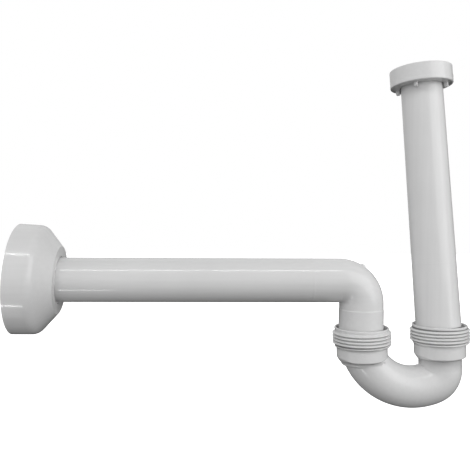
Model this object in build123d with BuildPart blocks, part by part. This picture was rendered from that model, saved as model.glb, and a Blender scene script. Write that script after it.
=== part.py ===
from build123d import *
from math import asin, cos, degrees, hypot, radians, sin, tan
import os

# Tubular basin trap: a wall rosette on a horizontal outlet tube with a tight
# elbow, a U-bend with two threaded sockets, and a tall inlet tube that carries
# a union nut. Millimetres. The origin is on the outlet tube's axis in the wall
# plane, +X points into the room and +Z up.

# Outlet tube with its elbow and leg, one moulding
outlet_reach = 246.5        # wall plane to the leg's axis
outlet_od = 31.6
outlet_wall = 2.0
elbow_bend_r = 16.4         # centreline radius of the tight elbow
leg_od = 32.0               # the leg's seat, below its step line
leg_step_z = -22.5          # step line below the tube's axis
leg_insertion = 14.0        # foot of the leg below the socket's rim
foot_chamfer = 0.6
gate_r = 1.9                # moulding gate on the elbow's outer side
gate_proud = 1.1
gate_angle = 57.0           # degrees above the tube's direction

# Wall rosette, it hangs a little askew on the tube
rosette_gap = 1.0           # its rim's centre stands off the wall plane
rosette_r = 38.9            # rim on the wall side
rosette_depth = 29.5
rosette_band = 17.2         # length of the drafted band
rosette_draft = 1.5         # degrees
rosette_front_r = 24.1      # flat ring round the tube
rosette_shoulder_r = 7.6
rosette_front_edge = 0.4
rosette_wall = 1.9
rosette_play = 1.25         # radial play of its hole on the tube
rosette_hang = 0.3          # its hole's centre below the tube's axis
rosette_droop = 3.0         # degrees, front down
rosette_yaw = 0.7           # degrees, front away from the viewer

# U-bend: two sockets on a long arc that turns into an upright leg
bend_lean = 2.0             # degrees, the bend hangs a little askew
rim_shift = 0.4             # rim centre beyond the leg's axis
rim_z = -33.8               # rim centre of the outlet socket
socket_spacing = 57.2
bend_tube_r = 15.2
bend_wall = 2.2
arc_r = 38.2                # centreline radius of the long arc
arc_u = 36.8                # its centre, from the outlet socket's axis
arc_w = -6.7                # its centre, from the rim plane
arc_start = 197.0           # degrees, where it leaves the outlet socket
arc_mouth = 188.0           # degrees, where its bore opens into the socket
turn_r = 10.9               # centreline radius of the turn into the leg

# Threaded socket, the same on both ends
socket_lip_r = 19.45        # plain lead-in below the rim
socket_lip = 1.8
thread_r = 20.955           # crest radius of the G 1 1/4 thread
thread_length = 10.0
thread_runout = 3.4
socket_body_r = 18.2
socket_depth = 24.2
heel_in = 1.9               # bevel at the bottom edge
heel_up = 3.0
heel_round = 1.2            # where the bevel leaves the side
socket_mouth_r = 18.2
socket_cone = 7.0           # depth of the seal cone in the mouth
socket_bore_r = 17.2
socket_stop = 19.8          # depth of the ledge that stops the tubes
stub_r = 15.3               # short round stub under the outlet socket
stub_length = 2.9
stub_round = 2.0

# Inlet tube, drafted, it leans in its socket
inlet_lean_side = 3.65      # degrees, to the wall side
inlet_lean_back = 3.5       # degrees, away from the viewer
inlet_cross_u = -0.55       # where its axis passes the socket's axis
inlet_cross_w = -5.5
inlet_low_od = 32.0
inlet_top_od = 29.8
inlet_wall = 1.9
inlet_insertion = 13.0      # foot of the tube below the rim
inlet_length = 192.7
flange_thickness = 2.0
flange_play = 0.4           # radial play of the flange in the nut

# Union nut and its flat washer
nut_r = 22.4
nut_height = 12.6
nut_floor = 3.0             # the inner shoulder that carries the flange
nut_thread_r = 19.6         # crest radius of the female thread
nut_mouth = 0.5             # chamfer at the thread's mouth
nut_relief_r = 20.1         # relief round the flange and the washer
nut_relief_over = 0.3       # how far the relief rises above the washer
nut_hole_play = 0.45        # radial play of the hole on the tube
nut_seat_gap = 0.05
nut_top_round = 0.5
nut_bevel = 0.6
lug_count = 4               # ribs on the underside
lug_width = 2.8
lug_in_r = 16.1
lug_out_r = 19.0
lug_drop = 3.5
lug_turn = -122.0           # degrees, the rib nearest the viewer
nub_r = 2.2                 # gate nub on the nut's side
nub_proud = 1.3
nub_turn = -2.0             # degrees
nub_height = 6.4            # above the nut's underside
washer_thickness = 2.0
washer_hole_r = 13.4

# Sealing rings in the sockets' mouths
seal_top = 1.6              # below the rim
seal_height = 4.5
seal_running = 0.05
seal_clearance = 0.2

os.makedirs("parts", exist_ok=True)

# Frames. The bend's own frame has its origin in the outlet socket's rim and
# its z up the sockets' axes. The inlet tube's frame sits on its leaning axis.
lean = radians(bend_lean)
bend = Plane(
    origin=(outlet_reach + rim_shift, 0, rim_z),
    x_dir=(cos(lean), 0, sin(lean)),
    z_dir=(-sin(lean), 0, cos(lean)),
)
bend_face = Plane(origin=bend.origin, x_dir=bend.x_dir, z_dir=-bend.y_dir)

side_slope = tan(radians(inlet_lean_side))
back_slope = tan(radians(inlet_lean_back))
up_inlet = Vector(-side_slope, back_slope, 1).normalized()
inlet_cross = bend.from_local_coords((socket_spacing + inlet_cross_u, 0, inlet_cross_w))
inlet = Plane(origin=inlet_cross, x_dir=(up_inlet.Z, 0, -up_inlet.X), z_dir=up_inlet)
inlet_face = Plane(origin=inlet.origin, x_dir=inlet.x_dir, z_dir=-inlet.y_dir)
inlet_axis = Axis(inlet.origin, inlet.z_dir)

# Outlet tube: straight run, tight elbow and leg, then the thicker seat
outlet_r = outlet_od / 2
leg_r = leg_od / 2
leg_end_z = rim_z - leg_insertion
elbow_x = outlet_reach - elbow_bend_r
with BuildPart() as outlet_pipe:
    with BuildLine(Plane.XZ) as outlet_run:
        run = Line((0, 0), (elbow_x, 0))
        bend_arc = JernArc(run @ 1, run % 1, elbow_bend_r, -90)
        Line(bend_arc @ 1, (outlet_reach, leg_end_z))
    with BuildSketch(Plane.YZ) as outlet_section:
        Circle(outlet_r)
        Circle(outlet_r - outlet_wall, mode=Mode.SUBTRACT)
    sweep()
    with BuildSketch(Plane.XY.offset(leg_end_z)) as leg_seat:
        with Locations((outlet_reach, 0)):
            Circle(leg_r)
            Circle(outlet_r - outlet_wall, mode=Mode.SUBTRACT)
    extrude(amount=leg_step_z - leg_end_z)
    foot_face = outlet_pipe.faces().filter_by(Axis.Z).sort_by(Axis.Z)[0]
    chamfer(foot_face.outer_wire().edges(), foot_chamfer)
    # moulding gate, a flat round nub
    gate_dir = Vector(cos(radians(gate_angle)), 0, sin(radians(gate_angle)))
    gate_root = Vector(elbow_x, 0, -elbow_bend_r) + gate_dir * (elbow_bend_r + outlet_r - outlet_wall / 2)
    with BuildSketch(Plane(origin=gate_root, z_dir=gate_dir)) as gate:
        Circle(gate_r)
    extrude(amount=outlet_wall / 2 + gate_proud)
outlet_pipe.part.label = "outlet_pipe"
export_step(outlet_pipe.part, "parts/outlet_pipe.step")

# Wall rosette: a drafted band and a cone, shelled from the wall side
into_room = Vector(1, tan(radians(rosette_yaw)), -tan(radians(rosette_droop))).normalized()
hole_depth = rosette_depth - rosette_wall / 2
rosette_back = Vector(rosette_gap + hole_depth, 0, -rosette_hang) - into_room * hole_depth
rosette_side = Vector(into_room.Y, -into_room.X, 0).normalized()
rosette_face = Plane(origin=rosette_back, x_dir=into_room, z_dir=rosette_side)
rosette_seat = Plane(origin=rosette_back, z_dir=into_room)
rosette_axis = Axis(rosette_back, into_room)
shoulder_r = rosette_r - rosette_band * tan(radians(rosette_draft))
shoulder_at = rosette_face.from_local_coords((rosette_band, shoulder_r, 0))
front_edge_at = rosette_face.from_local_coords((rosette_depth, rosette_front_r, 0))
with BuildPart() as rosette:
    with BuildSketch(rosette_face) as rosette_outline:
        with BuildLine():
            Polyline(
                (0, 0),
                (0, rosette_r),
                (rosette_band, shoulder_r),
                (rosette_depth, rosette_front_r),
                (rosette_depth, 0),
                close=True,
            )
        make_face()
        fillet(rosette_outline.vertices().sort_by(lambda v: abs(v.X - rosette_band) + abs(v.Y - shoulder_r))[0],
               rosette_shoulder_r)
        fillet(rosette_outline.vertices().sort_by(lambda v: abs(v.X - rosette_depth) + abs(v.Y - rosette_front_r))[0],
               rosette_front_edge)
    revolve(axis=rosette_axis)
    wall_face = rosette.faces().filter_by(GeomType.PLANE).sort_by(rosette_axis)[0]
    offset(amount=-rosette_wall, openings=wall_face)
    with BuildSketch(rosette_seat) as rosette_hole:
        Circle(outlet_r + rosette_play)
    extrude(amount=rosette_depth, mode=Mode.SUBTRACT)
rosette.part.label = "rosette"
export_step(rosette.part, "parts/rosette.step")

# U-bend. The long arc rises from the outlet socket to the right, then turns
# about a centre nearer than the tube's own radius, which leaves the sharp
# inner corner and the crease beside it.
turn_u = socket_spacing - turn_r
arc_rise = degrees(asin((turn_u - arc_u) / (arc_r - turn_r)))
arc_end = 270 + arc_rise
turn_w = arc_w - (arc_r - turn_r) * cos(radians(arc_rise))
turn_plane = Plane(
    origin=bend.from_local_coords((turn_u, 0, turn_w)),
    x_dir=bend.x_dir,
    z_dir=bend.z_dir,
)
turn_axis = Axis(turn_plane.origin, bend.y_dir)
leg_rise = -turn_w - socket_stop
thread_end = socket_lip + thread_length


def arc_section(angle):
    u, w = cos(radians(angle)), sin(radians(angle))
    at = bend.from_local_coords((arc_u + arc_r * u, 0, arc_w + arc_r * w))
    return Plane(origin=at, x_dir=bend.y_dir, z_dir=bend.z_dir * u - bend.x_dir * w)


with BuildPart() as u_bend:
    # outside of the tube: long arc, turn and upright leg
    with BuildLine(bend_face):
        CenterArc((arc_u, arc_w), arc_r, arc_start, arc_end - arc_start)
    with BuildSketch(arc_section(arc_start)):
        Circle(bend_tube_r)
    sweep()
    with BuildSketch(turn_plane):
        with Locations((turn_r, 0)):
            Circle(bend_tube_r)
        Rectangle(turn_r + bend_tube_r, 2 * bend_tube_r, align=(Align.MIN, Align.CENTER), mode=Mode.INTERSECT)
    revolve(axis=turn_axis, revolution_arc=90 - arc_rise)
    with BuildSketch(turn_plane):
        with Locations((turn_r, 0)):
            Circle(bend_tube_r)
    extrude(amount=leg_rise)
    # outside of the two sockets
    for socket_u in (0, socket_spacing):
        with BuildSketch(bend_face) as socket_outline:
            with BuildLine():
                Polyline(
                    (socket_u, 0),
                    (socket_u + socket_lip_r, 0),
                    (socket_u + socket_lip_r, -socket_lip),
                    (socket_u + thread_r, -socket_lip - thread_r + socket_lip_r),
                    (socket_u + thread_r, -thread_end),
                    (socket_u + socket_body_r, -thread_end - thread_runout),
                    (socket_u + socket_body_r, heel_up - socket_depth),
                    (socket_u + socket_body_r - heel_in, -socket_depth),
                    (socket_u, -socket_depth),
                    close=True,
                )
            make_face()
            fillet(socket_outline.vertices().sort_by(Axis.Y)[2], heel_round)
        revolve(axis=Axis(bend.from_local_coords((socket_u, 0, 0)), bend.z_dir))
    # round stub under the outlet socket, beside the arc
    with BuildSketch(bend_face) as stub_outline:
        with Locations((0, -socket_stop)):
            Rectangle(stub_r, socket_depth + stub_length - socket_stop, align=(Align.MIN, Align.MAX))
        stub_heel = stub_outline.vertices().sort_by(Axis.Y)[0:2].sort_by(Axis.X)[-1]
        fillet(stub_heel, stub_round)
    revolve(axis=Axis(bend.origin, bend.z_dir))
    # waterway
    for socket_u in (0, socket_spacing):
        with BuildSketch(bend_face):
            with BuildLine():
                Polyline(
                    (socket_u, 1),
                    (socket_u + socket_mouth_r, 1),
                    (socket_u + socket_mouth_r, 0),
                    (socket_u + socket_bore_r, -socket_cone),
                    (socket_u + socket_bore_r, -socket_stop),
                    (socket_u, -socket_stop),
                    close=True,
                )
            make_face()
        revolve(axis=Axis(bend.from_local_coords((socket_u, 0, 0)), bend.z_dir), mode=Mode.SUBTRACT)
    with BuildLine(bend_face):
        CenterArc((arc_u, arc_w), arc_r, arc_mouth, arc_end - arc_mouth)
    with BuildSketch(arc_section(arc_mouth)):
        Circle(bend_tube_r - bend_wall)
    sweep(mode=Mode.SUBTRACT)
    with BuildSketch(turn_plane):
        with Locations((turn_r, 0)):
            Circle(bend_tube_r - bend_wall)
        Rectangle(turn_r + bend_tube_r, 2 * bend_tube_r, align=(Align.MIN, Align.CENTER), mode=Mode.INTERSECT)
    revolve(axis=turn_axis, revolution_arc=90 - arc_rise, mode=Mode.SUBTRACT)
    with BuildSketch(turn_plane):
        with Locations((turn_r, 0)):
            Circle(bend_tube_r - bend_wall)
    extrude(amount=leg_rise, mode=Mode.SUBTRACT)
u_bend.part.label = "u_bend"
export_step(u_bend.part, "parts/u_bend.step")

# Inlet tube, with the flange that the union nut lifts
foot_s = -inlet_insertion - inlet_cross_w
top_s = foot_s + inlet_length
flange_s = top_s - flange_thickness
flange_r = nut_thread_r - flange_play
low_r = inlet_low_od / 2
high_r = inlet_top_od / 2
with BuildPart() as inlet_pipe:
    with BuildSketch(inlet_face) as inlet_outline:
        with BuildLine():
            Polyline(
                (low_r - inlet_wall, foot_s),
                (low_r - foot_chamfer, foot_s),
                (low_r, foot_s + foot_chamfer),
                (high_r, flange_s),
                (flange_r, flange_s),
                (flange_r, top_s),
                (high_r - inlet_wall, top_s),
                close=True,
            )
        make_face()
    revolve(axis=inlet_axis)
inlet_pipe.part.label = "inlet_pipe"
export_step(inlet_pipe.part, "parts/inlet_pipe.step")

# Flat washer on the flange
with BuildPart() as nut_washer:
    with BuildSketch(inlet.offset(top_s)) as washer_section:
        Circle(flange_r)
        Circle(washer_hole_r, mode=Mode.SUBTRACT)
    extrude(amount=washer_thickness)
nut_washer.part.label = "nut_washer"
export_step(nut_washer.part, "parts/nut_washer.step")

# Union nut, smooth outside, with small ribs under it
nut_low = flange_s - nut_seat_gap - nut_floor
nut_high = nut_low + nut_height
nut_hole_r = high_r + nut_hole_play
nut_thread_low = top_s + washer_thickness + nut_relief_over
with BuildPart() as union_nut:
    with BuildSketch(inlet_face) as nut_outline:
        with BuildLine():
            Polyline(
                (nut_hole_r, nut_low),
                (nut_r - nut_bevel, nut_low),
                (nut_r, nut_low + nut_bevel),
                (nut_r, nut_high),
                (nut_thread_r + nut_mouth, nut_high),
                (nut_thread_r, nut_high - nut_mouth),
                (nut_thread_r, nut_thread_low),
                (nut_relief_r, nut_thread_low + nut_thread_r - nut_relief_r),
                (nut_relief_r, nut_low + nut_floor),
                (nut_hole_r, nut_low + nut_floor),
                close=True,
            )
        make_face()
        fillet(nut_outline.vertices().sort_by(Axis.Y)[-2:].sort_by(Axis.X)[-1], nut_top_round)
    revolve(axis=inlet_axis)
    with BuildSketch(inlet.offset(nut_low)) as lugs:
        with PolarLocations(0, lug_count, start_angle=lug_turn):
            with Locations(((lug_in_r + lug_out_r) / 2, 0)):
                Rectangle(lug_out_r - lug_in_r, lug_width)
    extrude(amount=-lug_drop)
    nub_out = inlet.x_dir * cos(radians(nub_turn)) + inlet.y_dir * sin(radians(nub_turn))
    nub_root = inlet.from_local_coords((0, 0, nut_low + nub_height)) + nub_out * (nut_r - 1)
    with BuildSketch(Plane(origin=nub_root, x_dir=inlet.z_dir, z_dir=nub_out)) as nub:
        Circle(nub_r)
    extrude(amount=1 + nub_proud)
union_nut.part.label = "union_nut"
export_step(union_nut.part, "parts/union_nut.step")


# Sealing rings: each is bored for its tube and tapers with its socket's cone,
# which the tube's lean brings nearer on one side
def cone_radius(depth):
    return socket_mouth_r - (socket_mouth_r - socket_bore_r) * min(depth / socket_cone, 1)


def taper_loss(angle):
    return socket_mouth_r * sin(angle) * (socket_mouth_r - socket_bore_r) / socket_cone


seal_low = seal_top + seal_height
outlet_bore_r = leg_r + seal_running
outlet_top_r = cone_radius(seal_top) - abs(rim_shift + seal_top * sin(lean)) - taper_loss(lean) - seal_clearance
outlet_low_r = cone_radius(seal_low) - abs(rim_shift + seal_low * sin(lean)) - taper_loss(lean) - seal_clearance
with BuildPart() as outlet_seal:
    with BuildSketch(Plane(origin=(outlet_reach, 0, rim_z), x_dir=(1, 0, 0), z_dir=(0, -1, 0))):
        with BuildLine():
            Polyline(
                (outlet_bore_r, -seal_top),
                (outlet_top_r, -seal_top),
                (outlet_low_r, -seal_low),
                (outlet_bore_r, -seal_low),
                close=True,
            )
        make_face()
    revolve(axis=Axis((outlet_reach, 0, 0), (0, 0, 1)))
outlet_seal.part.label = "outlet_seal"
export_step(outlet_seal.part, "parts/outlet_seal.step")

side_lean = radians(inlet_lean_side - bend_lean)
back_lean = radians(inlet_lean_back)
inlet_skew = hypot(side_lean, back_lean)


def inlet_offset(depth):
    rise = -depth - inlet_cross_w
    return hypot(inlet_cross_u - rise * tan(side_lean), rise * tan(back_lean))


inlet_bore_r = low_r + seal_running
inlet_top_r = cone_radius(seal_top) - inlet_offset(seal_top) - taper_loss(inlet_skew) - seal_clearance
inlet_low_r = cone_radius(seal_low) - inlet_offset(seal_low) - taper_loss(inlet_skew) - seal_clearance
with BuildPart() as inlet_seal:
    with BuildSketch(inlet_face):
        with BuildLine():
            Polyline(
                (inlet_bore_r, -seal_top - inlet_cross_w),
                (inlet_top_r, -seal_top - inlet_cross_w),
                (inlet_low_r, -seal_low - inlet_cross_w),
                (inlet_bore_r, -seal_low - inlet_cross_w),
                close=True,
            )
        make_face()
    revolve(axis=inlet_axis)
inlet_seal.part.label = "inlet_seal"
export_step(inlet_seal.part, "parts/inlet_seal.step")
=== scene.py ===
from math import atan2, cos, hypot, pi, radians, sin, tan

import bpy
import numpy as np
from mathutils import Matrix, Vector


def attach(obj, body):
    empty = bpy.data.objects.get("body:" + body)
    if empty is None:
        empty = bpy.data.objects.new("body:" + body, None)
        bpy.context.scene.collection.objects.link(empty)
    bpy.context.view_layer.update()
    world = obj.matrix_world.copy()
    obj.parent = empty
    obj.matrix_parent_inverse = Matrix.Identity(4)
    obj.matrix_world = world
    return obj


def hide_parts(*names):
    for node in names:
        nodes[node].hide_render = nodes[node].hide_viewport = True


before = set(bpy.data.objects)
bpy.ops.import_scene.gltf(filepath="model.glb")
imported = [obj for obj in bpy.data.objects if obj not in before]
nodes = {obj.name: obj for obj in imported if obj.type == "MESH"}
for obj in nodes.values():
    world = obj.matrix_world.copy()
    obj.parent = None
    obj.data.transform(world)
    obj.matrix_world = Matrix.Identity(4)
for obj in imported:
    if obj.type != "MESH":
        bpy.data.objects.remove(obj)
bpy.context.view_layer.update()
scene = bpy.context.scene
MM = 0.001


# Materials
WHITE, WHITE_DARK = (0.80, 0.80, 0.80), (0.765, 0.765, 0.765)
PLASTIC_ROUGH, PLASTIC_IOR = 0.14, 1.49
CLOUD_SCALE, LINE_SCALE, GLOSS_SCALE = 38.0, 420.0, 160.0
GRAIN = 0.02                              # the share of the lines' scale that is left along a tube
RUBBER_SCALE, RUBBER_GLOSS_SCALE, RUBBER_GRAIN_SCALE = 260.0, 500.0, 1400.0
RUBBER_ROUGH_LOW, RUBBER_ROUGH_HIGH = 0.55, 0.75
PLASTIC_BUMP, RUBBER_BUMP, BUMP_DEPTH = 0.06, 0.3, 0.0001


def new_material(name):
    mat = bpy.data.materials.new(name)
    mat.use_nodes = True
    tree = mat.node_tree
    tree.nodes.clear()
    out = tree.nodes.new("ShaderNodeOutputMaterial")
    shader = tree.nodes.new("ShaderNodeBsdfPrincipled")
    tree.links.new(shader.outputs["BSDF"], out.inputs["Surface"])
    return mat, tree, shader


def noise(tree, coords, scale, detail):
    node = tree.nodes.new("ShaderNodeTexNoise")
    node.inputs["Scale"].default_value = scale
    node.inputs["Detail"].default_value = detail
    node.inputs["Roughness"].default_value = 0.5
    tree.links.new(coords, node.inputs["Vector"])
    return node.outputs["Fac"]


def mapped(tree, value, low, high, to_low, to_high):
    node = tree.nodes.new("ShaderNodeMapRange")
    node.inputs["From Min"].default_value = low
    node.inputs["From Max"].default_value = high
    node.inputs["To Min"].default_value = to_low
    node.inputs["To Max"].default_value = to_high
    tree.links.new(value, node.inputs["Value"])
    return node.outputs["Result"]


def two_tones(tree, share, dark, light):
    """The colour between dark, where share is 0, and light, where it is 1."""
    ramp = tree.nodes.new("ShaderNodeMix")
    ramp.data_type = "RGBA"
    ramp.inputs["A"].default_value = (*dark, 1)
    ramp.inputs["B"].default_value = (*light, 1)
    tree.links.new(share, ramp.inputs["Factor"])
    return ramp.outputs["Result"]


def add_bump(tree, shader, height, strength):
    bump = tree.nodes.new("ShaderNodeBump")
    bump.inputs["Strength"].default_value = strength
    bump.inputs["Distance"].default_value = BUMP_DEPTH
    tree.links.new(height, bump.inputs["Height"])
    tree.links.new(bump.outputs["Normal"], shader.inputs["Normal"])


def plastic(name, grain=(1, 1, 1)):
    """Glossy moulded plastic. The grain shrinks the fine lines' coordinates along a moulding's
    length, so that they run with it, and the attribute shade darkens the colour with painted shade."""
    mat, tree, shader = new_material(name)
    coords = tree.nodes.new("ShaderNodeTexCoord").outputs["Object"]
    stretch = tree.nodes.new("ShaderNodeVectorMath")
    stretch.operation = "MULTIPLY"
    stretch.inputs[1].default_value = grain
    tree.links.new(coords, stretch.inputs[0])
    lines = noise(tree, stretch.outputs["Vector"], LINE_SCALE, 2.0)
    both = tree.nodes.new("ShaderNodeMath")
    tree.links.new(noise(tree, coords, CLOUD_SCALE, 3.0), both.inputs[0])
    tree.links.new(lines, both.inputs[1])
    tone = two_tones(tree, mapped(tree, both.outputs["Value"], 0.7, 1.3, 0.0, 1.0), WHITE_DARK, WHITE)
    # painted shade from the attribute shade: the colour is scaled by one less the shade
    shade = tree.nodes.new("ShaderNodeAttribute")
    shade.attribute_name = "shade"
    shaded_tone = tree.nodes.new("ShaderNodeVectorMath")
    shaded_tone.operation = "SCALE"
    tree.links.new(tone, shaded_tone.inputs[0])
    tree.links.new(mapped(tree, shade.outputs["Fac"], 0.0, 1.0, 1.0, 0.0), shaded_tone.inputs["Scale"])
    tree.links.new(shaded_tone.outputs["Vector"], shader.inputs["Base Color"])
    patches = noise(tree, coords, GLOSS_SCALE, 3.0)
    gloss = mapped(tree, patches, 0.3, 0.7, PLASTIC_ROUGH - 0.03, PLASTIC_ROUGH + 0.04)
    tree.links.new(gloss, shader.inputs["Roughness"])
    shader.inputs["IOR"].default_value = PLASTIC_IOR
    add_bump(tree, shader, lines, PLASTIC_BUMP)
    return mat


def rubber(name, light, dark):
    mat, tree, shader = new_material(name)
    coords = tree.nodes.new("ShaderNodeTexCoord").outputs["Object"]
    share = mapped(tree, noise(tree, coords, RUBBER_SCALE, 4.0), 0.3, 0.7, 0.0, 1.0)
    tree.links.new(two_tones(tree, share, dark, light), shader.inputs["Base Color"])
    patches = noise(tree, coords, RUBBER_GLOSS_SCALE, 2.0)
    rough = mapped(tree, patches, 0.3, 0.7, RUBBER_ROUGH_LOW, RUBBER_ROUGH_HIGH)
    tree.links.new(rough, shader.inputs["Roughness"])
    add_bump(tree, shader, noise(tree, coords, RUBBER_GRAIN_SCALE, 3.0), RUBBER_BUMP)
    return mat


white = plastic("white_plastic")
white_outlet = plastic("white_plastic_outlet", grain=(GRAIN, 1, 1))
white_inlet = plastic("white_plastic_inlet", grain=(1, 1, GRAIN))
washer_rubber = rubber("washer_rubber", (0.10, 0.10, 0.10), (0.06, 0.06, 0.06))
seal_rubber = rubber("seal_rubber", (0.32, 0.32, 0.32), (0.24, 0.24, 0.24))
rings = {"nut_washer": washer_rubber, "outlet_seal": seal_rubber, "inlet_seal": seal_rubber}
for name, node in nodes.items():
    node.data.materials.clear()
    node.data.materials.append(rings.get(name, white))


# Frames of the bend and the inlet
class Place:
    """A frame of its own in the part, in millimetres as in the part's source."""

    def __init__(self, origin, x_axis, z_axis):
        self.origin = np.array(origin, float)
        x, z = np.array(x_axis, float), np.array(z_axis, float)
        self.x, self.z = x / np.linalg.norm(x), z / np.linalg.norm(z)
        self.y = np.cross(self.z, self.x)

    def out(self, p):
        """Points of this frame in the part's frame, metres."""
        p = np.asarray(p, float)
        return (self.origin + p[..., :1] * self.x + p[..., 1:2] * self.y + p[..., 2:3] * self.z) * MM

    def back(self, p):
        """Points of the part's frame, metres, in this frame."""
        d = np.asarray(p, float) / MM - self.origin
        return np.stack([d @ self.x, d @ self.y, d @ self.z], -1)

    def turn(self, v):
        """Directions of this frame in the part's frame."""
        v = np.asarray(v, float)
        return v[..., :1] * self.x + v[..., 1:2] * self.y + v[..., 2:3] * self.z


# The bend's frame sits in the outlet socket's rim, and the inlet's on the leaning tube's axis
# where it crosses the other socket.
OUTLET_REACH, RIM_SHIFT, RIM_Z = 246.5, 0.4, -33.8
BEND_LEAN, SOCKET_SPACING = radians(2.0), 57.2
BEND = Place(
    (OUTLET_REACH + RIM_SHIFT, 0, RIM_Z),
    (cos(BEND_LEAN), 0, sin(BEND_LEAN)),
    (-sin(BEND_LEAN), 0, cos(BEND_LEAN)))
INLET_CROSS_U, INLET_CROSS_W = -0.55, -5.5
INLET_LEAN, INLET_AWAY = radians(3.65), radians(3.5)
inlet_up = np.array([-tan(INLET_LEAN), tan(INLET_AWAY), 1.0])
inlet_up /= np.linalg.norm(inlet_up)
INLET = Place(
    BEND.out((SOCKET_SPACING + INLET_CROSS_U, 0, INLET_CROSS_W)) / MM,
    (inlet_up[2], 0, -inlet_up[0]), inlet_up)


# Mesh tools
KEY = 1e7                                 # points within a ten-millionth of a metre are one point
NEAR = 0.06                               # a row this near an edge keeps the flat beside it flat
SMALL_COUNT = 40                          # points round a gate nub or a rib


def wrapped(angles, order, i):
    """The angle of the i-th point in order, counted on over the turns."""
    laps, k = divmod(i, len(order))
    return angles[order[k]] + 2 * pi * laps


class Shell:
    """Faces with their own corner normals, gathered into one mesh. Points in metres."""

    def __init__(self):
        self.points, self.index, self.faces, self.normals = [], {}, [], []

    def point(self, p):
        key = (round(p[0] * KEY), round(p[1] * KEY), round(p[2] * KEY))
        if key not in self.index:
            self.index[key] = len(self.points)
            self.points.append((float(p[0]), float(p[1]), float(p[2])))
        return self.index[key]

    def face(self, corners, normals):
        ids = [self.point(c) for c in corners]
        kept = [i for i in range(len(ids)) if ids[i] != ids[i - 1]]
        if len(kept) > 2:
            self.faces.append([ids[i] for i in kept])
            self.normals.extend(tuple(normals[i]) for i in kept)

    def node(self, obj, keep, reshape):
        """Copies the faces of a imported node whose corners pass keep, with its exact normals,
        through reshape, which may draw them to a new place. Returns the points and what was left."""
        mesh = obj.data
        co = np.empty(len(mesh.vertices) * 3)
        mesh.vertices.foreach_get("co", co)
        nor = np.empty(len(mesh.loops) * 3)
        mesh.corner_normals.foreach_get("vector", nor)
        corner = np.empty(len(mesh.loops), np.int32)
        mesh.loops.foreach_get("vertex_index", corner)
        co, nor = reshape(co.reshape(-1, 3), nor.reshape(-1, 3), corner)
        left = []
        for poly in mesh.polygons:
            ids = list(poly.vertices)
            if keep(co[ids]):
                self.face(co[ids], nor[poly.loop_start:poly.loop_start + poly.loop_total])
            else:
                left.append(ids)
        return co, left

    def grid(self, rows, flip=False):
        """A skin through rows of points, each row a ring. Smooth normals of its own."""
        g = np.asarray(rows, float)
        n, m = g.shape[:2]
        nor = np.cross(np.roll(g, -1, 1) - np.roll(g, 1, 1), np.gradient(g, axis=0))
        size = np.linalg.norm(nor, axis=-1, keepdims=True)
        nor = nor / np.where(size > 0, size, 1)
        if flip:
            nor = -nor
        for i in range(n - 1):
            for j in range(m):
                k = (j + 1) % m
                quad = [(i, j), (i, k), (i + 1, k), (i + 1, j)]
                if flip:
                    quad.reverse()
                self.face([g[q] for q in quad], [nor[q] for q in quad])

    def cap(self, ring, normal):
        """One flat face over a ring, turned towards the normal."""
        pts = [np.asarray(p) for p in ring]
        area = sum(np.cross(pts[i - 1], pts[i]) for i in range(len(pts)))
        if area @ np.asarray(normal) < 0:
            pts.reverse()
        self.face(pts, [tuple(normal)] * len(pts))

    def stitch(self, ring_a, ring_b, angle_a, angle_b, normal_at, flip=False):
        """Triangles between two closed rings with different counts, by their angles."""
        a = sorted(range(len(ring_a)), key=lambda i: angle_a[i])
        b = sorted(range(len(ring_b)), key=lambda i: angle_b[i])
        i = j = 0
        while i < len(a) or j < len(b):
            here_a, after_a = wrapped(angle_a, a, i), wrapped(angle_a, a, i + 1)
            here_b, after_b = wrapped(angle_b, b, j), wrapped(angle_b, b, j + 1)
            from_a, from_b = ring_a[a[i % len(a)]], ring_b[b[j % len(b)]]
            if j >= len(b) or (i < len(a) and after_a <= after_b):
                i += 1
                tri = [from_a, ring_a[a[i % len(a)]], from_b]
                angles = [here_a, after_a, here_b]
            else:
                j += 1
                tri = [from_a, ring_b[b[j % len(b)]], from_b]
                angles = [here_a, after_b, here_b]
            nor = [normal_at(t) for t in angles]
            if flip:
                tri.reverse()
                nor.reverse()
            self.face(tri, nor)

    def build(self, name, body, material, replaced):
        mesh = bpy.data.meshes.new(name)
        mesh.from_pydata(self.points, [], self.faces)
        mesh.polygons.foreach_set("use_smooth", [True] * len(mesh.polygons))
        mesh.normals_split_custom_set(self.normals)
        mesh.materials.append(material)
        mesh.update()
        obj = bpy.data.objects.new(name, mesh)
        scene.collection.objects.link(obj)
        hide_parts(*replaced)
        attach(obj, body)
        return obj


def around(count):
    """Angles once round, from -pi on."""
    return -pi + np.arange(count) * (2 * pi / count)


def ring_rows(place, centre_u, profile, count):
    """Rows of a lathe in a frame: profile holds (radius, height) pairs or arrays over the angle."""
    t = around(count)
    rows = []
    for r, w in profile:
        r, w = np.broadcast_to(r, t.shape), np.broadcast_to(w, t.shape)
        rows.append(place.out(np.stack([centre_u + r * np.cos(t), r * np.sin(t), w], -1)))
    return rows


def quarter(centre_r, centre_w, radius, from_deg, to_deg, steps=5):
    """A rounded edge as (radius, height) pairs."""
    return [
        (centre_r + radius * cos(radians(a)), centre_w + radius * sin(radians(a)))
        for a in np.linspace(from_deg, to_deg, steps)]


def crisp(corners, gap=0.05):
    """Profile corners with a close point on each side, so that flat runs keep flat normals."""
    c = [np.array(p, float) for p in corners]
    out = []
    for i, p in enumerate(c):
        if i:
            back = c[i - 1] - p
            out.append(p + back / np.linalg.norm(back) * gap)
        out.append(p)
        if i < len(c) - 1:
            on = c[i + 1] - p
            out.append(p + on / np.linalg.norm(on) * gap)
    return [tuple(p) for p in out]


def witness(centre, half_width, height, steps):
    """A faint witness ring along a tube, as (place, height) pairs."""
    return [
        (centre + half_width * k / steps, height * (0.5 + 0.5 * cos(pi * k / steps)))
        for k in range(-steps, steps + 1)]


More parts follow.
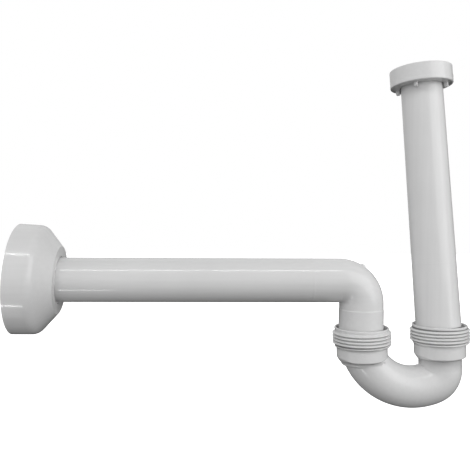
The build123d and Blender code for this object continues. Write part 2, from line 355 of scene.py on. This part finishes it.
def smoothstep(x, low, high):
    """0 up to low, 1 from high on, and a smooth climb between them."""
    t = np.clip((x - low) / (high - low), 0, 1)
    return t * t * (3 - 2 * t)


def window(x, rise, fall):
    """1 between the two stretches, rise and fall, and 0 outside them."""
    return smoothstep(x, *rise) * (1 - smoothstep(x, *fall))


def soft_min(a, b, k):
    """The lower of two heights, with a rounded corner of size k where they cross."""
    h = np.clip(0.5 + 0.5 * (b - a) / k, 0, 1)
    return b + (a - b) * h - k * h * (1 - h)


# Threads
PITCH = 2.309
CREST_R, ROOT_R = 20.955, 19.1
CREST_FLAT, CREST_SOFT, ROOT_SOFT = 0.62, 0.34, 0.30
FLANK = 1 / tan(radians(27.5))
FRONT = -pi / 2
THREAD_FADE_IN, THREAD_FADE_OUT = (-0.42, -0.18), (3.55, 4.55)      # turns from the first ridge


def thread_ridge(t, w, first):
    """Height of the ridge over the root, for angle t and height w, and the turns it has run."""
    lap = (t - FRONT + pi) % (2 * pi) - pi
    turns = (first - w) / PITCH + lap / (2 * pi)
    k = np.round(turns)
    flank = CREST_R - ROOT_R + CREST_FLAT - FLANK * (np.abs(turns - k) * PITCH)
    ridge = -soft_min(-soft_min(flank, CREST_R - ROOT_R, CREST_SOFT), 0.0, ROOT_SOFT)
    return np.maximum(ridge, 0), k - lap / (2 * pi)


def thread_height(t, w, first):
    ridge, along = thread_ridge(t, w, first)
    return ridge * window(along, THREAD_FADE_IN, THREAD_FADE_OUT)


# Sockets of the bend
MOUTH_R, MOUTH_CONE, MOUTH_ROUND, BORE_R = 18.2, 7.0, 0.35, 17.2
LIP_R, LIP_LOW, LIP_END, RIM_ROUND = 19.45, 1.2, 1.8, 0.4
THREAD_END, BODY_R, BODY_TOP = 11.8, 18.2, 15.2
CONE_TOP, TIP_FADE = 0.6, 11.5
SOCKET_COUNT, THREAD_ROW = 216, PITCH / 20
# Of each socket: its centre, the first ridge's height at the front, where the thread's wall
# steps in to the body, and how its rim and thread tip to the side and to the front.
SOCKETS = [
    (0.0, -3.57, (13.4, 15.0), (-0.026, 0.021)),
    (SOCKET_SPACING, -3.35, (12.5, 13.9), (-0.029, 0.0))]
SOCKET_OUTER, SLACK, TINY = 22.0, 1e-3, 1e-6


def socket_profile(first, step, tip):
    """(radius, height) arrays from the bore's edge over the rim and down the thread."""
    t = around(SOCKET_COUNT)
    slant = tip[0] * np.cos(t) + tip[1] * np.sin(t)
    cone = np.linspace(MOUTH_CONE, CONE_TOP, 8)
    rows = [(MOUTH_R - (MOUTH_R - BORE_R) * d / MOUTH_CONE, -d) for d in cone]
    rows += quarter(MOUTH_R + MOUTH_ROUND, -MOUTH_ROUND, MOUTH_ROUND, 180, 90)
    rows += quarter(LIP_R - RIM_ROUND, -RIM_ROUND, RIM_ROUND, 90, 0)
    rows = [(r, w + r * slant * (1 - smoothstep(-w, CONE_TOP, MOUTH_CONE))) for r, w in rows]
    rows += [(LIP_R, -d + LIP_R * slant) for d in np.linspace(RIM_ROUND + 0.2, LIP_LOW, 4)]
    for d in np.arange(LIP_LOW + THREAD_ROW, BODY_TOP - 0.02, THREAD_ROW):
        base = LIP_R + (ROOT_R - LIP_R) * smoothstep(d, LIP_LOW, LIP_END)
        base = base - (ROOT_R - BODY_R) * smoothstep(d, *step)
        run_out = max(0.0, (d - THREAD_END) / (BODY_TOP - THREAD_END))
        roof = CREST_R - (CREST_R - BODY_R) * run_out
        r = np.minimum(base + thread_height(t, -d, first), max(roof, base))
        rows.append((r, -d + r * slant * (1 - smoothstep(d, TIP_FADE, BODY_TOP - 0.1))))
    return rows


# Heels of the sockets
HEEL_TOP, HEEL_LOW, HEEL_SLACK = -20.9, -24.2, 0.05
HEEL_DEPTH = [0.0, 0.18, 0.58, 1.0]
HEEL_R, HEEL_W = [18.2, 17.95, 17.1, 16.3], [-22.4, -22.9, -23.35, -23.85]
HEEL_INNER, HEEL_OUTER = 15.9, 18.3
WALL_SIDE, ARC_SIDE = (0.55, 0.95), (0.5, 0.85)
BEVEL_FALL, SQUARE_FALL = [-90, 0, 32.3, 90], [-90, 0, 62, 62]      # the normals' fall in degrees


def heel_share(u, away, r, w):
    """How far each point goes towards the square edge: all the way at 1, nowhere at 0."""
    share = 1 - smoothstep(-away, *WALL_SIDE)
    if u == 0.0:
        share = share * (1 - smoothstep(away, *ARC_SIDE))
    heel = (w < HEEL_TOP + HEEL_SLACK) & (w > HEEL_LOW - HEEL_SLACK)
    return share * (heel & (r > HEEL_INNER) & (r < HEEL_OUTER))


def steepen(nor, radial, share):
    """Turns the bevel's normals down with the edge."""
    out, down = (nor * radial).sum(1), -(nor @ BEND.z)
    rest = nor - out[:, None] * radial + down[:, None] * BEND.z
    fall, size = np.arctan2(down, out), np.hypot(out, down)
    fall = fall + share * (np.interp(fall, np.radians(BEVEL_FALL), np.radians(SQUARE_FALL)) - fall)
    turned = rest + (size * np.cos(fall))[:, None] * radial - (size * np.sin(fall))[:, None] * BEND.z
    return np.where(share[:, None] > 0, turned, nor)


def square_heel(co, nor, corner):
    """Draws the sockets' bottom edge down and square, but for the wall side, where it stays bevelled."""
    local = BEND.back(co)
    for u, *_ in SOCKETS:
        r = np.hypot(local[:, 0] - u, local[:, 1])
        away = (local[:, 0] - u) / np.maximum(r, TINY)
        side = local[:, 1] / np.maximum(r, TINY)
        w = local[:, 2]
        share = heel_share(u, away, r, w)
        depth = (HEEL_TOP - w) / (HEEL_TOP - HEEL_LOW)
        new_r = r + share * (np.interp(depth, HEEL_DEPTH, HEEL_R) - r)
        local[:, 0], local[:, 1] = u + new_r * away, new_r * side
        local[:, 2] = w + share * (np.interp(depth, HEEL_DEPTH, HEEL_W) - w)
        radial = BEND.turn(np.stack([away, side, 0 * away], -1))[corner]
        nor = steepen(nor, radial, share[corner])
    return BEND.out(local), nor


# The bend
BODY_NORMAL, MOUTH_NORMAL = (1, -0.75), (-1, 0.14)      # outwards and upwards, where the skins meet
EDGE_FIT = 0.01


def outside_sockets(p):
    """Whether a face lies clear of the rims, the mouths' cones and the threads' plain walls."""
    c = BEND.back(p).mean(0)
    for u, *_ in SOCKETS:
        r = hypot(c[0] - u, c[1])
        in_cone = c[2] > -MOUTH_CONE - SLACK and BORE_R - 0.2 < r < SOCKET_OUTER
        if in_cone or (c[2] > -BODY_TOP - SLACK and BODY_R - 0.4 < r < SOCKET_OUTER):
            return False
    return True


def edge_ring(co, local, u, radius, height):
    """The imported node's points on a circle round a socket's centre, and their angles."""
    off = np.hypot(local[:, 0] - u, local[:, 1]) - radius
    edge = {}
    for i in np.nonzero((abs(off) < EDGE_FIT) & (abs(local[:, 2] - height) < EDGE_FIT))[0]:
        a = atan2(local[i, 1], local[i, 0] - u)
        edge[round(a, 4)] = (a, co[i])
    return [edge[k][1] for k in sorted(edge)], [edge[k][0] for k in sorted(edge)]


def cone_normal(outward, upward):
    """The normal of a cone round a socket, for any angle."""
    size = hypot(outward, upward)
    return lambda a: BEND.turn(np.array([outward * cos(a), outward * sin(a), upward]) / size)


def make_bend():
    shell = Shell()
    co, removed = shell.node(nodes["u_bend"], outside_sockets, square_heel)
    co = co[sorted(set(i for f in removed for i in f))]
    local = BEND.back(co)
    t = list(around(SOCKET_COUNT))
    for u, first, step, tip in SOCKETS:
        rows = ring_rows(BEND, u, socket_profile(first, step, tip), SOCKET_COUNT)
        shell.grid(rows, flip=True)
        ring, angle = edge_ring(co, local, u, BORE_R, -MOUTH_CONE)
        shell.stitch(ring, list(rows[0]), angle, t, cone_normal(*MOUTH_NORMAL), flip=True)
        ring, angle = edge_ring(co, local, u, BODY_R, -BODY_TOP)
        shell.stitch(ring, list(rows[-1]), angle, t, cone_normal(*BODY_NORMAL))
    return shell.build("u_bend_moulding", "bend", white, ["u_bend"])


# Painted shade in the threads' grooves and under the sockets' heels, and a painted highlight on the thread
# crests, all held in the bend's shade attribute.
GROOVE_SHADE, CREST_PAINTED_HIGHLIGHT, HEEL_SHADE = 0.72, 0.10, 0.34
GROOVE_SHADE_TOPS, GROOVE_SHADE_FADE = (2.8, 1.4), 0.5    # the painted shade in the grooves starts this far under each rim
GROOVE_SHADE_FULL_R, GROOVE_SHADE_GONE_R, THREAD_INNER = ROOT_R + 0.1, CREST_R - 0.7, 18.6
HEEL_SHADE_FROM, HEEL_SHADE_TO, HEEL_SHADE_R = (23.2, 23.8), (24.3, 26.3), (14.2, 17.6)


def paint_groove_and_heel_shade(obj):
    """Painted shade in the threads' grooves and under the heels, and a painted highlight on the crests, as
    an attribute the plastic reads.
    """
    mesh = obj.data
    co = np.empty(len(mesh.vertices) * 3)
    mesh.vertices.foreach_get("co", co)
    local = BEND.back(co.reshape(-1, 3))
    shade = np.zeros(len(local))
    for (u, _, (step_high, _), tip), top in zip(SOCKETS, GROOVE_SHADE_TOPS):
        r = np.hypot(local[:, 0] - u, local[:, 1])
        down = -(local[:, 2] - (tip[0] * (local[:, 0] - u) + tip[1] * local[:, 1]))
        deep = 1 - smoothstep(r, GROOVE_SHADE_FULL_R, GROOVE_SHADE_GONE_R)
        threaded = window(down, (top, top + GROOVE_SHADE_FADE), (step_high - 0.6, step_high + 0.3))
        # painted shade deep in the grooves, a painted highlight on the crests
        shade += (GROOVE_SHADE * deep - CREST_PAINTED_HIGHLIGHT * (1 - deep)) * threaded * (r > THREAD_INNER)
        # painted shadow under the heel, where the socket's body shades the bend
        below = window(-local[:, 2], HEEL_SHADE_FROM, HEEL_SHADE_TO)
        shade += HEEL_SHADE * below * (r > HEEL_SHADE_R[0]) * (r < HEEL_SHADE_R[1])
    layer = mesh.attributes.new("shade", "FLOAT", "POINT")
    layer.data.foreach_set("value", shade.astype(np.float32))


# Gate nubs
def nub(shell, at, out_dir, up_dir, radius, proud, root, dome, skirt):
    """A round gate nub with a domed face, on a skirt where the moulding swells."""
    o, n = np.array(at, float), np.array(out_dir, float)
    n /= np.linalg.norm(n)
    s = np.cross(up_dir, n)
    s /= np.linalg.norm(s)
    v = np.cross(n, s)
    t = around(SMALL_COUNT)
    flat = radius - dome
    profile = [(radius + skirt, -root), (radius + skirt, 0.0), (radius + 0.5 * skirt, 0.18 * proud)]
    profile += [(radius + 0.12 * skirt, 0.4 * proud), (radius, 0.6 * proud)]
    profile += quarter(flat, proud - dome, dome, 0, 80, 6)
    profile += [(flat - 0.35, proud + 0.01), (0.5 * flat, proud + 0.03), (0.01, proud + 0.04)]
    rows = [
        (o + n * h + r * (np.cos(t)[:, None] * s + np.sin(t)[:, None] * v)) * MM
        for r, h in profile]
    shell.grid(rows)
    shell.cap(rows[0], -n)
    shell.cap(rows[-1], n)


# Outlet tube and elbow
OUTLET_R, OUTLET_BORE, LEG_R, OUTLET_COUNT = 15.8, 13.8, 16.0, 144
ELBOW_R, LEG_STEP_Z, LEG_END_Z, FOOT_CHAMFER = 16.4, -21.0, -47.8, 0.6
ELBOW_X = OUTLET_REACH - ELBOW_R
LEG, LEG_STEP, STEP_FALL = -ELBOW_R - LEG_END_Z, -ELBOW_R - LEG_STEP_Z, 0.45
WALL_BEVEL, RUN_GAP = 0.25, 6.0
WITNESS_X, WITNESS_WIDE, WITNESS_HIGH = 210.0, 1.3, 0.07
GATE_ANGLE, GATE_SINK, GATE_R, GATE_PROUD = radians(57.0), 0.12, 1.75, 1.15


def path_row(x, turn, down, radius):
    """One ring of the outlet: x along the wall run, turn in degrees round the elbow, down the leg."""
    t = around(OUTLET_COUNT)
    a = radians(turn)
    centre = np.array([x + ELBOW_R * sin(a), 0, -ELBOW_R + ELBOW_R * cos(a) - down])
    outward, backward = np.array([sin(a), 0, cos(a)]), np.array([0, 1, 0])
    return (centre + radius * (np.cos(t)[:, None] * outward + np.sin(t)[:, None] * backward)) * MM


def outlet_outside():
    """Rings from the wall end along the run, round the elbow and down to the leg's chamfer."""
    run = [(0.0, -WALL_BEVEL), (WALL_BEVEL, 0.0), (2 * WALL_BEVEL, 0.0)]
    run += [(x, 0.0) for x in np.linspace(RUN_GAP, WITNESS_X - RUN_GAP, 34)]
    run += witness(WITNESS_X, WITNESS_WIDE, WITNESS_HIGH, 4)
    run += [(x, 0.0) for x in np.linspace(WITNESS_X + RUN_GAP / 2, ELBOW_X - 1, 7)]
    rows = [path_row(x, 0, 0, OUTLET_R + extra) for x, extra in run]
    rows += [path_row(ELBOW_X, a, 0, OUTLET_R) for a in np.linspace(0, 90, 46)]
    thin = (0.6, 2.0, 3.0, LEG_STEP - 0.80, LEG_STEP - STEP_FALL)
    rows += [path_row(ELBOW_X, 90, d, OUTLET_R) for d in thin]
    thick = [LEG_STEP + d for d in (0.0, 0.15, 1.0, 8.0, 16.0)]
    thick += [LEG - FOOT_CHAMFER - NEAR, LEG - FOOT_CHAMFER]
    return rows + [path_row(ELBOW_X, 90, d, LEG_R) for d in thick]


def outlet_inside():
    """Rings over the leg's foot, back up the bore and over the wall end."""
    foot = [(LEG_R - FOOT_CHAMFER, LEG), (LEG_R - FOOT_CHAMFER - NEAR, LEG), (OUTLET_BORE + NEAR, LEG)]
    foot += [(OUTLET_BORE, d) for d in (LEG, LEG - NEAR, 10.0, 1.0)]
    rows = [path_row(ELBOW_X, 90, d, r) for r, d in foot]
    rows += [path_row(ELBOW_X, a, 0, OUTLET_BORE) for a in np.linspace(90, 0, 31)]
    rows += [path_row(x, 0, 0, OUTLET_BORE) for x in [*np.linspace(ELBOW_X - 2, 2, 24), NEAR, 0.0]]
    wall_end = (OUTLET_BORE + NEAR, OUTLET_R - WALL_BEVEL - NEAR, OUTLET_R - WALL_BEVEL)
    return rows + [path_row(0, 0, 0, r) for r in wall_end]


def make_outlet():
    shell = Shell()
    shell.grid(outlet_outside() + outlet_inside(), flip=True)
    gate = np.array([cos(GATE_ANGLE), 0, sin(GATE_ANGLE)])
    at = np.array([ELBOW_X, 0, -ELBOW_R]) + gate * (ELBOW_R + OUTLET_R - GATE_SINK)
    nub(shell, at, gate, (0, 1, 0), GATE_R, GATE_PROUD, root=1.0, dome=0.4, skirt=0.55)
    return shell.build("outlet_moulding", "outlet", white_outlet, ["outlet_pipe"])


# Rosette
ROSETTE_DEPTH, RIM_SAG, RIM_IN = 0.030, 0.0006, 0.0004      # metres


def make_rosette():
    """The rosette, its rim hanging a little lower on the tube than its narrow end."""
    shell = Shell()

    def sag(co, nor, corner):
        along = np.clip(1 - co[:, 0] / ROSETTE_DEPTH, 0, 1)
        return co + np.stack([RIM_IN * along, 0 * along, -RIM_SAG * along], -1), nor

    shell.node(nodes["rosette"], lambda p: True, sag)
    return shell.build("rosette_moulding", "cover", white_outlet, ["rosette"])


# Inlet tube
FOOT_S, TOP_S, FLANGE_S, FLANGE_R, FLANGE_BEVEL = -7.5, 185.2, 183.2, 19.2, 0.2
LOW_R, HIGH_R, INLET_WALL, INLET_COUNT = 16.0, 14.9, 1.9, 168
INLET_WITNESS, INLET_WITNESS_WIDE, INLET_WITNESS_HIGH = 50.0, 0.9, 0.04


def inlet_radius(s):
    """The drafted tube's outside at a height along it, thinner to the top."""
    return LOW_R + (HIGH_R - LOW_R) * (s - FOOT_S - FOOT_CHAMFER) / (FLANGE_S - FOOT_S - FOOT_CHAMFER)


def inlet_bore(s):
    return HIGH_R - INLET_WALL + (LOW_R - HIGH_R) * (TOP_S - s) / (TOP_S - FOOT_S)


def make_inlet():
    shell = Shell()
    rows = [(LOW_R - FOOT_CHAMFER, FOOT_S)]
    rows += [(LOW_R, FOOT_S + FOOT_CHAMFER), (inlet_radius(FOOT_S + 1), FOOT_S + 1)]
    rows += [(inlet_radius(s), s) for s in np.linspace(FOOT_S + 2.5, INLET_WITNESS - 4, 12)]
    ring = witness(INLET_WITNESS, INLET_WITNESS_WIDE, INLET_WITNESS_HIGH, 3)
    rows += [(inlet_radius(s) + extra, s) for s, extra in ring]
    rows += [(inlet_radius(s), s) for s in np.linspace(INLET_WITNESS + 4, FLANGE_S - 0.5, 26)]
    rows += [(HIGH_R + 0.02, FLANGE_S - 0.12), (HIGH_R + 0.14, FLANGE_S), (HIGH_R + 0.3, FLANGE_S)]
    rows += crisp([
        (FLANGE_R - FLANGE_BEVEL, FLANGE_S), (FLANGE_R, FLANGE_S + FLANGE_BEVEL),
        (FLANGE_R, TOP_S - FLANGE_BEVEL)])
    rows += crisp([(FLANGE_R - FLANGE_BEVEL, TOP_S), (inlet_bore(TOP_S), TOP_S)])
    rows += [(inlet_bore(TOP_S), TOP_S - NEAR)]
    rows += [(inlet_bore(s), s) for s in np.linspace(TOP_S - 4, FOOT_S + NEAR, 30)]
    rows += [(LOW_R - INLET_WALL, FOOT_S), (LOW_R - INLET_WALL + NEAR, FOOT_S)]
    rows += [(LOW_R - FOOT_CHAMFER, FOOT_S)]
    shell.grid(ring_rows(INLET, 0, rows, INLET_COUNT))
    return shell.build("inlet_moulding", "inlet", white_inlet, ["inlet_pipe"])


# Union nut
NUT_R, NUT_LOW, NUT_HIGH, NUT_FLOOR, NUT_HOLE_R = 22.4, 180.15, 192.75, 3.0, 15.35
NUT_THREAD_R, NUT_MOUTH, NUT_RELIEF_R, NUT_THREAD_LOW = 19.6, 0.5, 20.1, 187.5
NUT_COUNT, NUT_ROW, NUT_PLAY = 216, PITCH / 16, 0.12
HOLE_BEVEL, TOP_ROUND = 0.25, 0.45
BAND_HIGH, BAND_STEP, BAND_ROUND = 2.5, 0.10, 0.9
LUG_TURN, LUG_IN, LUG_OUT, LUG_WIDE, LUG_DROP = -122.0, 15.9, 19.0, 2.8, 3.5
LUG_COUNT, LUG_SQUARE, LUG_SINK, LUG_ROUND = 4, 4.0, 0.3, 0.9
LUG_TAPER, LUG_SHRINK = 0.97, 0.55
NUB_TURN, NUB_HIGH, NUB_R, NUB_PROUD = radians(-2.0), 6.4, 2.1, 1.25
SIDE_R = NUT_R - BAND_STEP


def nut_outside():
    """(radius, height) pairs from the hole's edge over the band and the smooth side to the mouth."""
    rows = [(NUT_HOLE_R, NUT_LOW + HOLE_BEVEL), (NUT_HOLE_R + HOLE_BEVEL, NUT_LOW)]
    rows += [(NUT_HOLE_R + 0.4, NUT_LOW), (NUT_R - BAND_ROUND - 0.3, NUT_LOW)]
    rows += quarter(NUT_R - BAND_ROUND, NUT_LOW + BAND_ROUND, BAND_ROUND, -90, 0, 8)
    rows += crisp([(NUT_R, NUT_LOW + BAND_HIGH), (SIDE_R, NUT_LOW + BAND_HIGH + 0.12)])
    rows += [(SIDE_R, NUT_LOW + h) for h in (4.0, 7.0, 10.0)]
    rows += quarter(SIDE_R - TOP_ROUND, NUT_HIGH - TOP_ROUND, TOP_ROUND, 0, 90, 6)
    mouth = NUT_THREAD_R + NUT_MOUTH
    return rows + [(SIDE_R - 0.6, NUT_HIGH), (mouth + NEAR, NUT_HIGH), (mouth, NUT_HIGH)]


def nut_inside():
    """(radius, height) arrays down the inner thread, and pairs over the relief and the floor."""
    t = around(NUT_COUNT)
    rows = []
    for s in np.arange(NUT_HIGH - NEAR, NUT_THREAD_LOW - 0.02, -NUT_ROW):
        ridge, _ = thread_ridge(t, s - NUT_THREAD_LOW, 0.0)
        cut = np.maximum(NUT_THREAD_R, ROOT_R + ridge + NUT_PLAY)
        fade = smoothstep(s, NUT_THREAD_LOW, NUT_THREAD_LOW + 0.6)
        r = NUT_THREAD_R + (cut - NUT_THREAD_R) * fade
        rows.append((np.maximum(r, NUT_THREAD_R + max(0.0, s - (NUT_HIGH - NUT_MOUTH))), s))
    return rows + crisp([
        (NUT_THREAD_R, NUT_THREAD_LOW - 0.1), (NUT_RELIEF_R, NUT_THREAD_LOW - 0.6),
        (NUT_RELIEF_R, NUT_LOW + NUT_FLOOR), (NUT_HOLE_R, NUT_LOW + NUT_FLOOR),
        (NUT_HOLE_R, NUT_LOW + HOLE_BEVEL)])


def lug(shell, angle):
    """A rounded rib under the nut, from the tube outwards."""
    mid, half = (LUG_IN + LUG_OUT) / 2, (LUG_OUT - LUG_IN) / 2
    steps = [(LUG_SINK, 1.0), (0.0, 1.0), (-0.4 * LUG_DROP, LUG_TAPER)]
    for b in np.radians(range(0, 91, 15)):
        steps.append((-LUG_DROP + LUG_ROUND - LUG_ROUND * sin(b), LUG_TAPER - LUG_SHRINK * (1 - cos(b))))
    q = around(SMALL_COUNT)
    rounded = (np.abs(np.cos(q)) ** LUG_SQUARE + np.abs(np.sin(q)) ** LUG_SQUARE) ** (-1 / LUG_SQUARE)
    rows = []
    for h, k in steps:
        u = mid + half * k * rounded * np.cos(q)
        v = LUG_WIDE / 2 * k * rounded * np.sin(q)
        x = u * cos(angle) - v * sin(angle)
        y = u * sin(angle) + v * cos(angle)
        rows.append(INLET.out(np.stack([x, y, np.full(len(x), NUT_LOW + h)], -1)))
    shell.grid(rows, flip=True)
    shell.cap(rows[0], INLET.z)
    shell.cap(rows[-1], -INLET.z)


def make_nut():
    shell = Shell()
    shell.grid(ring_rows(INLET, 0, nut_outside() + nut_inside(), NUT_COUNT))
    for k in range(LUG_COUNT):
        lug(shell, radians(LUG_TURN + 360 / LUG_COUNT * k))
    out = cos(NUB_TURN) * INLET.x + sin(NUB_TURN) * INLET.y
    at = INLET.out((0, 0, NUT_LOW + NUB_HIGH)) / MM + out * (SIDE_R - 0.05)
    nub(shell, at, out, INLET.z, NUB_R, NUB_PROUD, root=0.9, dome=0.55, skirt=0.35)
    return shell.build("union_nut_moulding", "nut", white, ["union_nut"])


# the bend gets its painted shade and painted highlight
paint_groove_and_heel_shade(make_bend())
make_rosette()
make_outlet()
make_inlet()
make_nut()


# Camera
CAM_AT = Vector((137.66, -441.20, 44.66)) * MM
CAM_YAW, CAM_PITCH, CAM_ROLL = 0.0387, -0.0279, 0.0062
FOCAL_PX, FRAME_PX, SENSOR = 616.6, 470.0, 36.0

forward = Vector((sin(CAM_YAW) * cos(CAM_PITCH), cos(CAM_YAW) * cos(CAM_PITCH), sin(CAM_PITCH)))
level = Vector((cos(CAM_YAW), -sin(CAM_YAW), 0))
upward = level.cross(forward)
right = cos(CAM_ROLL) * level + sin(CAM_ROLL) * upward
up = -sin(CAM_ROLL) * level + cos(CAM_ROLL) * upward
cam_data = bpy.data.cameras.new("camera")
cam_data.sensor_width = SENSOR
cam_data.lens = FOCAL_PX / FRAME_PX * SENSOR
cam_data.clip_start = 0.01
cam_data.clip_end = 30.0
camera = bpy.data.objects.new("camera", cam_data)
scene.collection.objects.link(camera)
camera.matrix_world = Matrix.Translation(CAM_AT) @ Matrix((right, up, -forward)).transposed().to_4x4()
scene.camera = camera


# Lights
# The lobes are azimuth from the viewer's side towards +X, elevation and strength.
LOBES = [
    (45, 10, 0.98), (75, 10, 0.69), (-15, 4, 0.28), (-30, 30, 0.37), (-60, 30, 0.47),
    (-45, 4, 0.27), (-90, 30, 0.63), (-120, 30, 0.63), (180, 30, 0.80), (105, 6, 0.20)]
LOBE_EDGE, LOW_LIGHT, LOW_FROM = cos(radians(48)), 0.5, -0.7
STRIP_AWAY, STRIP_WIDE, STRIP_LEFT = 1.0, 0.02, -0.45
STRIPS = [("strip_high", 0.55, 55.6, 1.8), ("strip_low", -0.1, -49.2, 0.6)]
LAMPS = [
    ("lamp_high", (0.90, -0.60, 0.40), (0.29, 0, 0.10), 0.9, 3.4),
    ("lamp_low", (-0.30, -0.25, -0.38), (0.02, 0, -0.02), 0.4, 0.45)]


def area_light(name, at, target, size_x, size_y, power):
    """A lamp at a place, turned to a target, its first side level with the X axis."""
    data = bpy.data.lights.new(name, "AREA")
    data.shape = "RECTANGLE"
    data.size, data.size_y, data.energy = size_x, size_y, power
    lamp = bpy.data.objects.new(name, data)
    scene.collection.objects.link(lamp)
    back = (Vector(at) - Vector(target)).normalized()
    side = Vector((1, 0, 0))
    side = (side - side.dot(back) * back).normalized()
    lamp.matrix_world = Matrix.Translation(at) @ Matrix((side, back.cross(side), back)).transposed().to_4x4()
    return lamp


def strip(name, x_low, x_high, elevation, power):
    """A long thin lamp parallel to the outlet tube, seen from it at this elevation."""
    e = radians(elevation)
    mid = (x_low + x_high) / 2
    at = (mid, -STRIP_AWAY * cos(e), STRIP_AWAY * sin(e))
    area_light(name, at, (mid, 0, 0), x_high - x_low, STRIP_WIDE, power)


def lobe(tree, way, azimuth, elevation, strength):
    """One soft round light on the sky: full strength at its middle, nothing past its edge."""
    a, e = radians(azimuth), radians(elevation)
    dot = tree.nodes.new("ShaderNodeVectorMath")
    dot.operation = "DOT_PRODUCT"
    tree.links.new(way, dot.inputs[0])
    dot.inputs[1].default_value = (sin(a) * cos(e), -cos(a) * cos(e), sin(e))
    glow = mapped(tree, dot.outputs["Value"], LOBE_EDGE, 1.0, 0.0, strength)
    glow.node.interpolation_type = "SMOOTHSTEP"
    return glow


def lobe_world(lobes):
    """Soft surrounding light, the sum of the lobes, dimmer from below. Camera rays see white."""
    world = bpy.data.worlds.new("studio")
    scene.world = world
    world.use_nodes = True
    tree = world.node_tree
    tree.nodes.clear()
    normal = tree.nodes.new("ShaderNodeVectorMath")
    normal.operation = "NORMALIZE"
    tree.links.new(tree.nodes.new("ShaderNodeTexCoord").outputs["Generated"], normal.inputs[0])
    way = normal.outputs["Vector"]
    total = lobe(tree, way, *lobes[0])
    for one in lobes[1:]:
        add = tree.nodes.new("ShaderNodeMath")
        tree.links.new(total, add.inputs[0])
        tree.links.new(lobe(tree, way, *one), add.inputs[1])
        total = add.outputs["Value"]
    height = tree.nodes.new("ShaderNodeSeparateXYZ")
    tree.links.new(way, height.inputs["Vector"])
    dim = tree.nodes.new("ShaderNodeMath")
    dim.operation = "MULTIPLY"
    tree.links.new(total, dim.inputs[0])
    tree.links.new(mapped(tree, height.outputs["Z"], LOW_FROM, 0.0, LOW_LIGHT, 1.0), dim.inputs[1])
    light = tree.nodes.new("ShaderNodeBackground")
    tree.links.new(dim.outputs["Value"], light.inputs["Strength"])
    seen = tree.nodes.new("ShaderNodeBackground")
    seen.inputs["Color"].default_value = (1, 1, 1, 1)
    mix = tree.nodes.new("ShaderNodeMixShader")
    rays = tree.nodes.new("ShaderNodeLightPath")
    tree.links.new(rays.outputs["Is Camera Ray"], mix.inputs["Fac"])
    tree.links.new(light.outputs["Background"], mix.inputs[1])
    tree.links.new(seen.outputs["Background"], mix.inputs[2])
    tree.links.new(mix.outputs["Shader"], tree.nodes.new("ShaderNodeOutputWorld").inputs["Surface"])


lobe_world(LOBES)
for name, x_high, elevation, power in STRIPS:
    strip(name, STRIP_LEFT, x_high, elevation, power)
for name, at, target, size, power in LAMPS:
    area_light(name, at, target, size, size, power).visible_camera = False


# Floor
FLOOR_Z, FLOOR_HALF = -0.45, 8.0
floor_mat, _, floor_shader = new_material("floor_white")
floor_shader.inputs["Base Color"].default_value = (0.9, 0.9, 0.9, 1)
floor_shader.inputs["Emission Color"].default_value = (1, 1, 1, 1)
floor_shader.inputs["Emission Strength"].default_value = 1.0
floor_mesh = bpy.data.meshes.new("floor")
floor_corners = [(x * FLOOR_HALF, y * FLOOR_HALF, FLOOR_Z) for x, y in ((-1, -1), (1, -1), (1, 1), (-1, 1))]
floor_mesh.from_pydata(floor_corners, [], [(0, 1, 2, 3)])
floor_mesh.materials.append(floor_mat)
floor = bpy.data.objects.new("floor", floor_mesh)
scene.collection.objects.link(floor)
floor.visible_diffuse = False
floor.visible_glossy = False
floor.visible_shadow = False

scene.view_settings.view_transform = "Standard"
scene.view_settings.look = "None"
